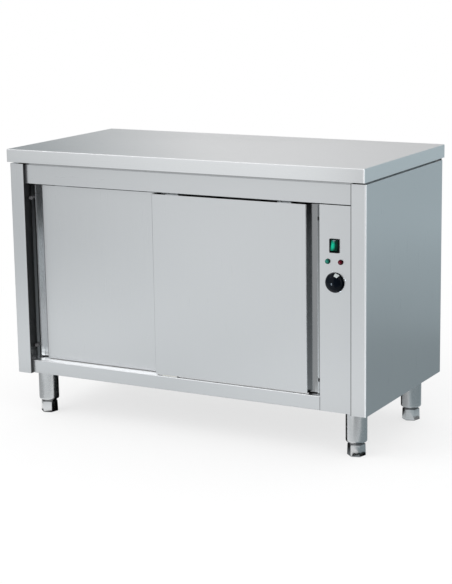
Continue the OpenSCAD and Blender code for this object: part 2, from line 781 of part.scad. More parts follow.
module fan_motor() color(zinc) difference() {
  union() {
    rod_x(house_out, house_out + 12, fan_y, fan_z, motor_r);
    rod_x(house_out + 11, house_out + motor_len, fan_y, fan_z, motor_r * 0.83);
    rod_x(house_out + motor_len - 1, house_out + motor_len + 6, fan_y, fan_z, motor_r / 3);
  }
  rod_x(house_out - 1, house_out + 30, fan_y, fan_z, 4 + run_gap);
}

module fan_impeller() color(zinc) {
  rod_x(house_x + 12, house_out + 29, fan_y, fan_z, 4);
  rod_x(house_x + 12, house_x + 40, fan_y, fan_z, 12);
  rod_x(house_x + 38, house_x + 40, fan_y, fan_z, fan_r);
  for (i = [0 : blades - 1]) {
    translate([house_x + 14, fan_y, fan_z]) rotate([i * 360 / blades, 0, 0])
      translate([0, fan_r - 30, -0.8]) cube([25, 29, 1.6]);
  }
}

module heater_element() color(zinc) {
  low_z = fan_z - sqrt(ring_r * ring_r - 144);
  difference() {
    translate([house_x + 26, fan_y, fan_z]) rotate([0, 90, 0]) rotate_extrude() translate([ring_r, 0]) circle(4);
    block([house_x + 20, fan_y - 6, fan_z - ring_r - 6], [house_x + 32, fan_y + 6, fan_z - ring_r + 8]);
  }
  for (s = [-1, 1]) {
    rod_x(house_x + 25, house_out + 14, fan_y + s * 12, low_z, 3.2);
    rod_x(house_out, house_out + 5, fan_y + s * 12, low_z, 6);
  }
}

module terminal_block() color(nylon) difference() {
  block([house_x + 25, 130, z_floor], [house_x + 85, 154, z_floor + 20]);
  for (i = [0 : 4]) translate([house_x + 33 + i * 11, 142, z_floor + 8]) cylinder(h = 20, r = 3.2);
}

module cable_gland() color(black) difference() {
  union() {
    rod_y(gland_x, back_in - 4, back_in, gland_z, gland_r + 3);
    rod_y(gland_x, back_in - 5, back_in + 6, gland_z, gland_r);
    translate([gland_x, back_in + 6.4, gland_z]) rotate([90, 0, 0]) cylinder(h = 5.2, r = gland_r * 1.5, $fn = 6);
    rod_y(gland_x, back_in + 6, back_in + 11, gland_z, gland_r + 1.5);
    rod_y(gland_x, back_in + 10, back_in + 14, gland_z, gland_r);
  }
  rod_y(gland_x, back_in - 6, back_in + 16, gland_z, 4.5);
}

worktop();
top_stiffeners();
left_side();
right_side();
back_panel();
back_screws();
header();
base_shelf();
compartment_floor();
control_panel();
left_liner();
partition();
back_liner();
top_liner();
insulation();
middle_shelf();
shelf_rails();
door_track();
track_screws();
floor_guide();
door_bumpers();
right_door_skin();
right_door_liner();
right_door_core();
right_hangers();
right_hanger_screws();
right_roller_a();
right_roller_b();
left_door_skin();
left_door_liner();
left_door_core();
left_hangers();
left_hanger_screws();
left_roller_a();
left_roller_b();
leg_front_left();
leg_front_right();
leg_back_left();
leg_back_right();
leg_inserts();
foot_front_left();
foot_front_right();
foot_back_left();
foot_back_right();
knob();
thermostat_shaft();
thermostat();
thermostat_bulb();
switch_body();
switch_rocker();
green_lens();
red_lens();
lamp_holders();
fan_housing();
fan_motor();
fan_impeller();
heater_element();
terminal_block();
cable_gland();
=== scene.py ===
import json
import math

import bmesh
import bpy
from bpy.props import FloatProperty, FloatVectorProperty, IntProperty, PointerProperty
from mathutils import Matrix, Vector


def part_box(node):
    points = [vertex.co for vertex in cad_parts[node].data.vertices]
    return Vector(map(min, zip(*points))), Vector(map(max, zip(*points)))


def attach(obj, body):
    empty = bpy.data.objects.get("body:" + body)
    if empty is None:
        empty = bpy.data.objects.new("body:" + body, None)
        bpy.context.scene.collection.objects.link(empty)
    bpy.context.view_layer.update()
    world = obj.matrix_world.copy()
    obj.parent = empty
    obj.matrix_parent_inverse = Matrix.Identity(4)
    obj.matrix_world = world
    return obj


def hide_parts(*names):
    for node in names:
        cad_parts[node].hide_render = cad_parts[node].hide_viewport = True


bl_info = {
    "name": "Plate warmer cabinet",
    "version": (1, 0, 0),
    "blender": (4, 5, 0),
    "location": "View3D > Sidebar > Cabinet",
    "description": "Finishes, controls and studio for a stainless plate warmer cabinet",
    "category": "Object",
}

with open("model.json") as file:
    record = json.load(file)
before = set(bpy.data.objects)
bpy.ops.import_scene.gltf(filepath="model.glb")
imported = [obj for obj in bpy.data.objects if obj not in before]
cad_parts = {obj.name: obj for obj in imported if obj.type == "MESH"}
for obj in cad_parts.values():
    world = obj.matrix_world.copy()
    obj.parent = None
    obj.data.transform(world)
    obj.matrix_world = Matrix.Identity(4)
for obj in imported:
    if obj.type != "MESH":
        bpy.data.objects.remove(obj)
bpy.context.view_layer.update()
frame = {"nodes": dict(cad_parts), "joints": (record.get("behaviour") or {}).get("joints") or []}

# Which way the brushing runs on each stainless piece.
GRAIN_X = ("middle_shelf", "top_liner", "back_liner")
GRAIN_Y = ("shelf_rails",)
GRAIN_Z = ("control_panel", "left_liner", "partition")
LEG_TUBES = ("leg_front_left", "leg_front_right", "leg_back_left", "leg_back_right")
# Each foot's body and how far it has been screwed round, in degrees.
FEET = {
    "foot_front_left": ("foot_fl", -73.0),
    "foot_front_right": ("foot_fr", -73.0),
    "foot_back_left": ("foot_bl", -35.0),
    "foot_back_right": ("foot_br", -73.0),
}
# The feet with black cards under their right halves, painted shadows on the floor that their
# lower edges reflect.
SHADED_FEET = ("foot_front_right", "foot_back_left", "foot_back_right")
# Height of the round neck between a foot's hexagon and its leg tube.
FOOT_NECK = 0.0065
ZINC_SHEET = (
    "back_panel", "compartment_floor", "top_stiffeners", "door_track", "fan_housing", "fan_motor",
    "fan_impeller", "right_hangers", "left_hangers",
)
ZINC_SMALL = (
    "back_screws", "track_screws", "right_hanger_screws", "left_hanger_screws",
    "thermostat_shaft",
)
NYLON = (
    "floor_guide", "right_roller_a", "right_roller_b", "left_roller_a", "left_roller_b",
)
BLACK_MOULDED = ("leg_inserts", "switch_body", "lamp_holders", "cable_gland")
PALE_MOULDED = ("thermostat", "terminal_block")
WOOL = ("insulation", "right_door_core", "left_door_core")

# The rocker's side as (depth, height) about its pivot: the hollowed face, then the back.
ROCKER_SIDE = (
    (-0.0096, -0.0154), (-0.0086, -0.0115), (-0.0078, -0.0075), (-0.00735, -0.0035),
    (-0.0072, 0.0), (-0.00735, 0.0035), (-0.0078, 0.0075), (-0.0086, 0.0115),
    (-0.0096, 0.0154), (0.0020, 0.0160), (0.0060, 0.0120), (0.0060, -0.0120),
    (0.0020, -0.0160),
)
ROCKER_WIDTH = 0.0216
# How the rocker leans at its rest stop, in degrees.
ROCKER_REST = -12
# How far inwards a finger channel starts from its door's face.
CHANNEL_START = 0.004

# Each lamp's size, its place and the point that it looks at.
KEY_LAMP = ((3.0, 2.4), (-2.2, -3.0, 3.4), (0, 0, 0.5))
FILL_LAMP = ((2.4, 2.0), (3.4, -2.2, 2.4), (0.2, 0, 0.5))
GLINT_LAMP = ((0.24, 0.36), (0.03, -1.15, 0.26), (0.498, -0.30, 0.5195))
GLINT_COLOUR = (0.72, 0.86, 1.0)
GLOSSY_CONTROLS = ("knob_dome", "lens_green_dome", "lens_red_dome", "rocker_key")
# The camera's place, and its yaw, pitch and roll in degrees.
CAMERA_PLACE = (2.431, -4.421, 1.468)
CAMERA_TURN = (28.83, 12.0, -0.9)


def wall_card(x0, y0, x1, y1, low, high):
    return [(x0, y0, low), (x1, y1, low), (x1, y1, high), (x0, y0, high)]


def level_card(x0, y0, x1, y1, z):
    return [(x0, y0, z), (x1, y0, z), (x1, y1, z), (x0, y1, z)]


# The colour of a fully cool card.
BLUE_SHADE = (0.80, 0.945, 1.0)
POSTS = ("right_side", "left_side")
BENDS = POSTS + ("worktop_sheet",)
BACK_LEG = ("leg_back_right", "foot_back_right_hex")
# Reflection cards: name, corners, axis and stops of (place on the axis, level, coolness).
# Where pieces are named at the end, only they reflect the card, and it hides no other card.
CARDS = (
    (
        "front_card", wall_card(-3.0, -1.8, 1.9, -1.8, 0.0, 0.46), "X",
        [
            (-3.0, 0.56, 0.25), (-1.5, 0.67, 0.25), (-0.9, 0.95, 0.2), (-0.35, 0.92, 0.15),
            (0.14, 0.92, 0.2), (0.42, 0.04, 0.2), (1.9, 0.04, 0.2),
        ],
    ),
    (
        "high_front_card", wall_card(-3.0, -1.8, 1.9, -1.8, 0.46, 2.6), "X",
        [
            (-3.0, 0.62, 0.15), (-1.5, 0.76, 0.15), (-0.9, 0.85, 0.1), (-0.35, 0.90, 0.1),
            (0.14, 0.94, 0.1), (0.42, 0.04, 0.1), (1.9, 0.04, 0.2),
        ],
    ),
    (
        "flag_card", wall_card(1.9, -1.8, 2.15, -1.1, 0.0, 2.0), "Y",
        [(-1.8, 0.04, 0.2), (-1.1, 0.04, 0.2)],
    ),
    (
        "side_card", wall_card(0.62, 1.34, 4.2, 0.9, 0.0, 2.6), "Z",
        [
            (0.0, 0.43, 1.0), (0.3, 0.51, 1.0), (0.42, 0.60, 1.0), (0.52, 0.56, 1.0),
            (2.6, 0.59, 1.0),
        ],
    ),
    (
        "left_card", wall_card(-2.4, -1.6, -2.4, 1.6, 0.0, 2.4), "Z",
        [(0.0, 0.30, 0.25), (2.4, 0.42, 0.25)],
    ),
    (
        "back_card", wall_card(-4.4, 2.5, 0.5, 2.5, 0.0, 3.2), "X",
        [
            (-4.4, 0.30, 0.7), (-2.7, 0.33, 0.6), (-2.2, 0.53, 0.3), (-1.5, 0.77, 0.0),
            (-0.9, 0.74, 0.0), (-0.3, 0.66, 0.0), (0.5, 0.64, 0.0),
        ],
    ),
    (
        "front_floor", level_card(-2.6, -1.8, 0.50, -0.60, 0.002), "X",
        [
            (-2.6, 0.95, 0.2), (-0.95, 1.0, 0.2), (-0.4, 0.84, 0.25), (0.1, 0.98, 0.2),
            (0.5, 1.0, 0.1),
        ],
    ),
    (
        "near_floor", level_card(-0.63, -0.60, 0.50, -0.25, 0.002), "Y",
        [(-0.6, 0.70, 0.2), (-0.42, 0.76, 0.2), (-0.27, 1.05, 0.1)],
    ),
    (
        "left_floor", level_card(-2.4, -0.60, -0.63, 1.6, 0.002), "X",
        [(-2.4, 0.40, 0.2), (-0.63, 0.52, 0.2)],
    ),
    (
        "dark_floor", level_card(0.50, -1.8, 2.15, -0.90, 0.002), "X",
        [(0.5, 0.10, 0.2), (2.15, 0.05, 0.2)],
    ),
    (
        "leg_floor", level_card(0.50, -0.90, 2.15, -0.35, 0.002), "Y",
        [(-0.9, 0.36, 0.2), (-0.62, 0.66, 0.2), (-0.44, 0.58, 0.3), (-0.36, 1.0, 0.2)],
    ),
    (
        "side_floor", level_card(0.56, -0.35, 4.2, 1.3, 0.002), "Y",
        [(-0.35, 0.36, 1.0), (1.3, 0.34, 1.0)],
    ),
    # The under_card is a black sheet under the cabinet, a painted shadow that the legs reflect.
    (
        "under_card", level_card(-0.57, -0.24, 0.56, 1.6, 0.003), "X",
        [(-0.57, 0.0, 0.0), (0.45, 0.0, 0.0), (0.56, 0.3, 0.5)],
    ),
    (
        "over_card", level_card(-2.6, -2.2, 0.6, 1.8, 3.3), "X",
        [(-2.6, 1.0, 0.0), (0.6, 1.0, 0.0)],
    ),
    (
        "bend_card", wall_card(0.36, -1.79, 1.88, -1.79, 0.0, 2.6), "X",
        [(0.36, 0.1, 0.1), (0.8, 0.95, 0.1), (1.88, 0.95, 0.1)], BENDS,
    ),
    (
        "flank_card", wall_card(1.88, -1.79, 2.1, -1.1, 0.0, 2.6), "Y",
        [(-1.79, 0.95, 0.1), (-1.1, 0.95, 0.1)], BENDS,
    ),
    (
        "right_card", wall_card(2.15, -1.1, 2.15, 0.4, 0.35, 2.4), "Y",
        [(-1.1, 0.45, 0.0), (0.4, 0.35, 0.0)], POSTS,
    ),
    (
        "bend_floor", level_card(0.55, -1.8, 2.15, -0.5, 0.005), "X",
        [(0.55, 0.85, 0.1), (2.15, 0.85, 0.1)], BENDS,
    ),
    (
        "left_channel_card", wall_card(0.40, -1.79, 0.74, -1.79, 0.0, 0.269), "Z",
        [(0.0, 0.95, 0.4), (0.269, 0.85, 0.4)], ("left_door_skin",),
    ),
    (
        "right_channel_card", wall_card(0.99, -1.79, 1.34, -1.79, 0.0, 0.38), "Z",
        [(0.0, 0.85, 0.5), (0.38, 0.58, 0.5)], ("right_door_skin",),
    ),
    (
        "right_channel_floor", level_card(0.55, -1.79, 1.34, -0.6, 0.006), "Y",
        [(-1.79, 0.85, 0.5), (-0.6, 1.35, 0.5)], ("right_door_skin",),
    ),
    (
        "back_leg_card", level_card(0.10, -0.24, 0.56, 0.20, 0.004), "X",
        [(0.10, 0.0, 0.0), (0.22, 0.42, 0.2), (0.56, 0.42, 0.2)], BACK_LEG,
    ),
    (
        "back_leg_side", level_card(0.56, -0.35, 0.70, 0.6, 0.004), "X",
        [(0.56, 0.25, 0.2), (0.70, 0.0, 0.2)], BACK_LEG,
    ),
)


# ---------------------------------------------------------------- settings
def colour_setting(name, description, default):
    return FloatVectorProperty(
        name=name, description=description, subtype="COLOR", size=3, min=0.0, max=1.0,
        default=default,
    )


def length_setting(name, description, low, high, default):
    return FloatProperty(
        name=name, description=description, unit="LENGTH", min=low, max=high, default=default,
    )


def share_setting(name, description, low, high, default):
    return FloatProperty(
        name=name, description=description, subtype="FACTOR", min=low, max=high, default=default,
    )


def power_setting(name, description, high, default):
    return FloatProperty(
        name=name, description=description, unit="POWER", min=0.0, max=high, default=default,
    )


class SteelSettings(bpy.types.PropertyGroup):
    """Finish of the stainless sheet, the legs and the zinc-coated inner pieces"""

    colour: colour_setting(
        "Steel", "Colour of the brushed stainless sheet", (0.640, 0.650, 0.662),
    )
    roughness: share_setting("Roughness", "Mean roughness of the brushed sheet", 0.05, 0.9, 0.30)
    # The worktop's colour is the sheet's, made lighter: painted light for its brighter top and
    # edges.
    worktop_lit_colour: colour_setting(
        "Worktop", "Colour of the finer sheet of the worktop", (0.765, 0.775, 0.785),
    )
    channel_roughness: share_setting(
        "Channel roughness", "Roughness inside the doors' finger channels", 0.05, 0.9, 0.14,
    )
    edge_radius: length_setting(
        "Edge", "Outside radius of the worktop's edges and corners", 0.001, 0.006, 0.003,
    )
    flange: length_setting(
        "Flange", "Width of the worktop's flange that is folded back", 0.01, 0.06, 0.024,
    )
    sheet: length_setting("Sheet", "Thickness of the worktop's sheet", 0.0008, 0.002, 0.0012)
    foot_radius: length_setting(
        "Foot radius", "Radius over the corners of a foot", 0.02, 0.028, 0.028,
    )
    grain_length: length_setting("Grain length", "Length of one brushed stroke", 0.01, 1.0, 0.16)
    grain_width: length_setting(
        "Grain width", "Width of one brushed stroke", 0.0005, 0.01, 0.0014,
    )
    leg_colour: colour_setting("Legs", "Colour of the polished leg tubes", (0.62, 0.63, 0.64))
    zinc_colour: colour_setting("Zinc", "Colour of the zinc-coated sheet", (0.47, 0.49, 0.51))


class ControlSettings(bpy.types.PropertyGroup):
    """Sizes and colours of the knob, the lamps and the rocker"""

    knob_radius: length_setting("Knob radius", "Radius of the knob's skirt", 0.02, 0.032, 0.029)
    knob_colour: colour_setting("Knob", "Colour of the glossy knob", (0.002, 0.003, 0.005))
    # The pointer's colour is also a painted highlight on the knob's dome.
    pointer_and_highlight_colour: colour_setting(
        "Pointer", "Colour of the pointer line on the knob", (0.50, 0.54, 0.54),
    )
    pointer_angle: FloatProperty(
        name="Pointer angle",
        description="How far the pointer stands clockwise of the top, in degrees",
        min=0.0, max=360.0, default=22.0,
    )
    pointer_spread: FloatProperty(
        name="Pointer spread", description="Angle that the pointer's wedge takes up, in degrees",
        min=4.0, max=60.0, default=29.0,
    )
    rocker_lit: colour_setting(
        "Rocker lit", "Colour of the rocker where its lamp shines through", (0.005, 0.290, 0.170),
    )
    rocker_dark: colour_setting(
        "Rocker edge", "Colour of the rocker towards its edges", (0.0003, 0.003, 0.0025),
    )
    green_lamp: colour_setting(
        "Green lamp", "Colour of the green pilot lamp", (0.010, 0.085, 0.062),
    )
    red_lamp: colour_setting("Red lamp", "Colour of the red pilot lamp", (0.050, 0.002, 0.006))
    segments: IntProperty(
        name="Segments", description="Number of steps round a turned piece",
        min=24, max=128, default=72,
    )


class StudioSettings(bpy.types.PropertyGroup):
    """Floor, lamps and camera"""

    floor_colour: colour_setting("Floor", "Colour of the studio floor", (0.90, 0.90, 0.90))
    floor_lift: share_setting(
        "Floor lift", "How much of the object's shadow on the floor is lifted to white",
        0.0, 0.9, 0.7,
    )
    floor_radius: length_setting("Floor radius", "Radius of the studio floor", 4.0, 60.0, 30.0)
    key_power: power_setting("Key", "Power of the large lamp over the front left", 2000.0, 60.0)
    fill_power: power_setting("Fill", "Power of the lamp on the front right", 2000.0, 20.0)
    glint_power: power_setting(
        "Glint", "Power of the small lamp that the knob and the lenses reflect", 20.0, 9.0,
    )
    room_light: FloatProperty(
        name="Room", description="Strength of the light from all round",
        min=0.0, max=2.0, default=1.0,
    )
    lens: FloatProperty(
        name="Lens", description="Focal length of the camera", unit="CAMERA",
        min=20.0, max=200.0, default=102.156,
    )


SETTINGS = {
    "cabinet_steel": SteelSettings,
    "cabinet_controls": ControlSettings,
    "cabinet_studio": StudioSettings,
}


# ---------------------------------------------------------------- material tools
def begin_finish(name):
    mat = bpy.data.materials.new(name)
    mat.use_nodes = True
    tree = mat.node_tree
    tree.nodes.clear()
    out = tree.nodes.new("ShaderNodeOutputMaterial")
    shader = tree.nodes.new("ShaderNodeBsdfPrincipled")
    tree.links.new(shader.outputs["BSDF"], out.inputs["Surface"])
    return mat, tree, shader


def place_pattern(tree, scale=(1, 1, 1), at=(0, 0, 0), turn=(0, 0, 0)):
    where = tree.nodes.new("ShaderNodeTexCoord")
    mapping = tree.nodes.new("ShaderNodeMapping")
    mapping.inputs["Location"].default_value = at
    mapping.inputs["Rotation"].default_value = turn
    mapping.inputs["Scale"].default_value = scale
    tree.links.new(where.outputs["Object"], mapping.inputs["Vector"])
    return mapping.outputs["Vector"]


def noise(tree, vector, scale, detail=2.0, rough=0.5):
    node = tree.nodes.new("ShaderNodeTexNoise")
    node.inputs["Scale"].default_value = scale
    node.inputs["Detail"].default_value = detail
    node.inputs["Roughness"].default_value = rough
    tree.links.new(vector, node.inputs["Vector"])
    return node.outputs["Fac"]


def spread(tree, value, low, high, from_low=0.25, from_high=0.75):
    node = tree.nodes.new("ShaderNodeMapRange")
    node.inputs["From Min"].default_value = from_low
    node.inputs["From Max"].default_value = from_high
    node.inputs["To Min"].default_value = low
    node.inputs["To Max"].default_value = high
    tree.links.new(value, node.inputs["Value"])
    return node.outputs["Result"]


def combine(tree, operation, *values):
    """The result of a sum, product or the like of sockets and numbers."""
    node = tree.nodes.new("ShaderNodeMath")
    node.operation = operation
    for socket, value in zip(node.inputs, values):
        if isinstance(value, bpy.types.NodeSocket):
            tree.links.new(value, socket)
        else:
            socket.default_value = value
    return node.outputs[0]


def blend_colours(tree, fac, first, second):
    node = tree.nodes.new("ShaderNodeMix")
    node.data_type = "RGBA"
    tree.links.new(fac, node.inputs["Factor"])
    for socket, value in (("A", first), ("B", second)):
        target = [s for s in node.inputs if s.name == socket and s.type == "RGBA"][0]
        if isinstance(value, bpy.types.NodeSocket):
            tree.links.new(value, target)
        else:
            target.default_value = (*value, 1.0)
    return [s for s in node.outputs if s.type == "RGBA"][0]


def where_between(tree, axis, low, high, soft=0.0003):
    """1 between two places along an axis and 0 elsewhere, with soft ends.

    The axis XY lies halfway between X and minus Y, towards the front right corner.
    """
    split = tree.nodes.new("ShaderNodeSeparateXYZ")
    turn = math.radians(45) if axis == "XY" else 0.0
    tree.links.new(place_pattern(tree, turn=(0, 0, turn)), split.inputs["Vector"])
    along = split.outputs[axis[0]]
    rise = spread(tree, along, 0.0, 1.0, low - soft, low + soft)
    fall = spread(tree, along, 1.0, 0.0, high - soft, high + soft)
    return combine(tree, "MULTIPLY", rise, fall)


def shade(colour, amount):
    return tuple(min(1.0, c * amount) for c in colour)


def two_tones(tree, pattern, colour, low, high):
    """A pattern's colour, which wanders between a darker and a lighter tone of one colour."""
    pattern = spread(tree, pattern, 0.0, 1.0)
    return blend_colours(tree, pattern, shade(colour, low), shade(colour, high))


def relief(tree, shader, height, distance, strength=0.5):
    bump = tree.nodes.new("ShaderNodeBump")
    bump.inputs["Strength"].default_value = strength
    bump.inputs["Distance"].default_value = distance
    tree.links.new(height, bump.inputs["Height"])
    tree.links.new(bump.outputs["Normal"], shader.inputs["Normal"])


def dress(names, mat):
    for name in names:
        node = frame["nodes"][name]
        if not node.material_slots:
            node.data.materials.append(mat)
        for slot in node.material_slots:
            slot.material = mat


# ---------------------------------------------------------------- finishes
def brushed_steel(name, settings, axis, colour=None, painted_shade=None, smooth_shaded_channel=None, painted_highlight=None):
    """Long fine strokes along one axis over slow changes of tone.

    The marks are each (axis, low, high, tone): the first is a band of painted shade, darker,
    the second a fold with a painted highlight, lighter, and the last a channel that is smoother
    than the face and whose colour is painted darker as shade.
    """
    mat, tree, shader = begin_finish(name)
    colour = tuple(colour or settings.colour)
    rough = settings.roughness
    along, across = 1.0 / settings.grain_length, 1.0 / settings.grain_width
    scale = [across, across, across]
    scale["XYZ".index(axis)] = along
    strokes = noise(tree, place_pattern(tree, scale), scale=1.0, detail=3.0, rough=0.6)
    clouds = noise(tree, place_pattern(tree), scale=2.6)
    tone = two_tones(tree, clouds, colour, 0.985, 1.015)
    fine = blend_colours(tree, spread(tree, strokes, 0.0, 0.4), tone, shade(colour, 1.05))
    sheen = spread(tree, strokes, rough - 0.03, rough + 0.03)
    # Painted shade, a painted highlight and the channel's painted shade, each a tone over the
    # colour.
    for marked in (painted_shade, painted_highlight, smooth_shaded_channel):
        if marked:
            inside = where_between(tree, *marked[:3])
            fine = blend_colours(tree, inside, fine, shade(colour, marked[3]))
    if smooth_shaded_channel:
        smooth = tree.nodes.new("ShaderNodeMix")
        tree.links.new(inside, smooth.inputs["Factor"])
        tree.links.new(sheen, smooth.inputs["A"])
        smooth.inputs["B"].default_value = settings.channel_roughness
        sheen = smooth.outputs["Result"]
    tree.links.new(fine, shader.inputs["Base Color"])
    tree.links.new(sheen, shader.inputs["Roughness"])
    shader.inputs["Metallic"].default_value = 1.0
    relief(tree, shader, strokes, 0.000012)
    return mat


def corner_highlight(node, tone, width=0.0035):
    """A painted highlight along the fold at a piece's front right corner, for brushed_steel."""
    low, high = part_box(node)
    corner = (high.x - low.y) / math.sqrt(2)
    return ("XY", corner - width, corner + width, tone)


def polished_tube(name, colour, rough=0.2, neck=None):
    """Drawn and polished tube with faint rings left by the polishing belt.

    neck is (low, high) of a band under the tube where shade is painted in, darker.
    """
    mat, tree, shader = begin_finish(name)
    rings = noise(tree, place_pattern(tree, (60, 60, 900)), scale=1.0)
    patches = noise(tree, place_pattern(tree), scale=14.0, detail=3.0)
    tone = two_tones(tree, rings, colour, 0.95, 1.05)
    # Painted shade in the gap between the tube and the foot.
    if neck:
        tone = blend_colours(tree, where_between(tree, "Z", *neck), tone, shade(colour, 0.3))
    tree.links.new(tone, shader.inputs["Base Color"])
    tree.links.new(spread(tree, patches, rough - 0.03, rough + 0.08), shader.inputs["Roughness"])
    shader.inputs["Metallic"].default_value = 1.0
    relief(tree, shader, rings, 0.00003)
    return mat


def zinc_sheet(name, colour):
    """Dull zinc coat with its crystal flowers."""
    mat, tree, shader = begin_finish(name)
    cells = tree.nodes.new("ShaderNodeTexVoronoi")
    cells.inputs["Scale"].default_value = 90.0
    tree.links.new(place_pattern(tree), cells.inputs["Vector"])
    to_grey = tree.nodes.new("ShaderNodeRGBToBW")
    tree.links.new(cells.outputs["Color"], to_grey.inputs["Color"])
    grey = to_grey.outputs["Val"]
    tone = blend_colours(tree, grey, shade(colour, 0.86), shade(colour, 1.12))
    tree.links.new(tone, shader.inputs["Base Color"])
    tree.links.new(spread(tree, grey, 0.38, 0.58, 0.0, 1.0), shader.inputs["Roughness"])
    shader.inputs["Metallic"].default_value = 1.0
    return mat


def moulded(name, colour, rough, grain=900.0, depth=0.00006, gloss=0.5):
    """Moulded plastic: slight flow marks and a fine spark-eroded grain."""
    mat, tree, shader = begin_finish(name)
    flow = noise(tree, place_pattern(tree), scale=35.0)
    fine = noise(tree, place_pattern(tree), scale=grain)
    tree.links.new(two_tones(tree, flow, colour, 0.85, 1.15), shader.inputs["Base Color"])
    tree.links.new(spread(tree, flow, rough * 0.85, rough * 1.2), shader.inputs["Roughness"])
    shader.inputs["Specular IOR Level"].default_value = gloss
    relief(tree, shader, fine, depth)
    return mat


def mineral_wool(name):
    """Matted mineral fibres, from brown to straw."""
    mat, tree, shader = begin_finish(name)
    brown, straw = (0.36, 0.30, 0.16), (0.72, 0.64, 0.42)
    fibres = noise(tree, place_pattern(tree, (1, 5, 1)), scale=160.0, detail=5.0, rough=0.7)
    tone = blend_colours(tree, spread(tree, fibres, 0.0, 1.0), brown, straw)
    tree.links.new(tone, shader.inputs["Base Color"])
    shader.inputs["Roughness"].default_value = 0.95
    relief(tree, shader, fibres, 0.0015, 0.8)
    return mat


def tinted_metal(name, cool, warm, rough):
    """Metal that heat or air has stained in patches."""
    mat, tree, shader = begin_finish(name)
    stain = noise(tree, place_pattern(tree), scale=40.0, detail=4.0)
    tone = blend_colours(tree, spread(tree, stain, 0.0, 1.0), cool, warm)
    tree.links.new(tone, shader.inputs["Base Color"])
    tree.links.new(spread(tree, stain, rough * 0.8, rough * 1.3), shader.inputs["Roughness"])
    shader.inputs["Metallic"].default_value = 1.0
    return mat


def lit_plastic(name, centre, reach, lit, dark, glow):
    """Clear tinted plastic that is brighter where the lamp sits behind it."""
    mat, tree, shader = begin_finish(name)
    scale = [1.0 / r for r in reach]
    at = [-c * s for c, s in zip(centre, scale)]
    ball = tree.nodes.new("ShaderNodeTexGradient")
    ball.gradient_type = "SPHERICAL"
    tree.links.new(place_pattern(tree, scale, at), ball.inputs["Vector"])
    ripple = noise(tree, place_pattern(tree), scale=420.0)
    wave = combine(tree, "MULTIPLY_ADD", ripple, 0.22, ball.outputs["Fac"])
    mix = blend_colours(tree, spread(tree, wave, 0.0, 1.0, 0.08, 1.0), dark, lit)
    tree.links.new(mix, shader.inputs["Base Color"])
    tree.links.new(mix, shader.inputs["Emission Color"])
    shader.inputs["Emission Strength"].default_value = glow
    shader.inputs["Roughness"].default_value = 0.12
    shader.inputs["Specular IOR Level"].default_value = 0.07
    return mat


# ---------------------------------------------------------------- mesh tools
def place_mesh(bm, name):
    """Turns a bmesh into an object of the scene."""
    mesh = bpy.data.meshes.new(name)
    bm.to_mesh(mesh)
    bm.free()
    thing = bpy.data.objects.new(name, mesh)
    bpy.context.scene.collection.objects.link(thing)
    return thing


def finish_piece(bm, name, mat, body, smooth_angle):
    bmesh.ops.remove_doubles(bm, verts=bm.verts, dist=1e-6)
    bmesh.ops.recalc_face_normals(bm, faces=bm.faces)
    piece = place_mesh(bm, name)
    for face in piece.data.polygons:
        face.use_smooth = True
    piece.data.set_sharp_from_angle(angle=math.radians(smooth_angle))
    piece.data.materials.append(mat)
    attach(piece, body)
    return piece


def turn_verts(bm, verts, degrees, axis):
    matrix = Matrix.Rotation(math.radians(degrees), 3, axis)
    bmesh.ops.rotate(bm, verts=verts, cent=(0, 0, 0), matrix=matrix)


def soften(bm, edges, offset, segments):
    bmesh.ops.bevel(
        bm, geom=edges, offset=offset, segments=segments, profile=0.5, affect="EDGES",
        material=-1,
    )


def turned(profile, steps):
    """A turned solid about Z from (radius, height) points that start and end on the axis."""
    bm = bmesh.new()
    verts = [bm.verts.new((r, 0.0, h)) for r, h in profile]
    edges = [bm.edges.new(pair) for pair in zip(verts, verts[1:])]
    bmesh.ops.spin(
        bm, geom=verts + edges, cent=(0, 0, 0), axis=(0, 0, 1), angle=math.tau, steps=steps,
        use_merge=True,
    )
    bmesh.ops.remove_doubles(bm, verts=bm.verts, dist=1e-7)
    return bm


def hex_foot(radius, tube, top, turn):
    """A hexagon that widens downwards, a round neck under the tube and a threaded stem."""
    neck = tube - FOOT_NECK
    taper, base_edge, corner_edge = 0.0012, 0.0045, 0.0018
    bm = bmesh.new()
    bmesh.ops.create_cone(
        bm, cap_ends=True, segments=6, radius1=radius, radius2=radius - taper, depth=neck,
    )
    bmesh.ops.translate(bm, verts=bm.verts, vec=(0, 0, neck / 2))
    soften(bm, [e for e in bm.edges if max(v.co.z for v in e.verts) < 1e-6], base_edge, 2)
    upright = [e for e in bm.edges if abs(e.verts[0].co.z - e.verts[1].co.z) > 0.02]
    soften(bm, upright, corner_edge, 3)
    turn_verts(bm, bm.verts, turn, "Z")

    collar, stem, pitch, thread_depth, gap = radius - 0.0050, 0.006, 0.0015, 0.0009, 0.0003
    thread = []
    for i in range(int((top - tube) / pitch)):
        thread += [(stem - thread_depth, tube + i * pitch), (stem, tube + (i + 0.5) * pitch)]
    round_part = [
        (0.0, neck - 0.001), (collar, neck - 0.001), (collar, tube - gap), (stem, tube - gap),
    ]
    part = turned(round_part + thread + [(stem - 0.001, top), (0.0, top)], 48)
    extra = bpy.data.meshes.new("foot_round")
    part.to_mesh(extra)
    part.free()
    bm.from_mesh(extra)
    bpy.data.meshes.remove(extra)
    return bm


def face_front(bm, x, y, z):
    """Turns a piece made about +Z to look out of the panel, and puts its foot at a point."""
    turn_verts(bm, bm.verts, 90, "X")
    bmesh.ops.translate(bm, verts=bm.verts, vec=(x, y, z))


def middle(node):
    low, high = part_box(node)
    return (low + high) / 2, low, high


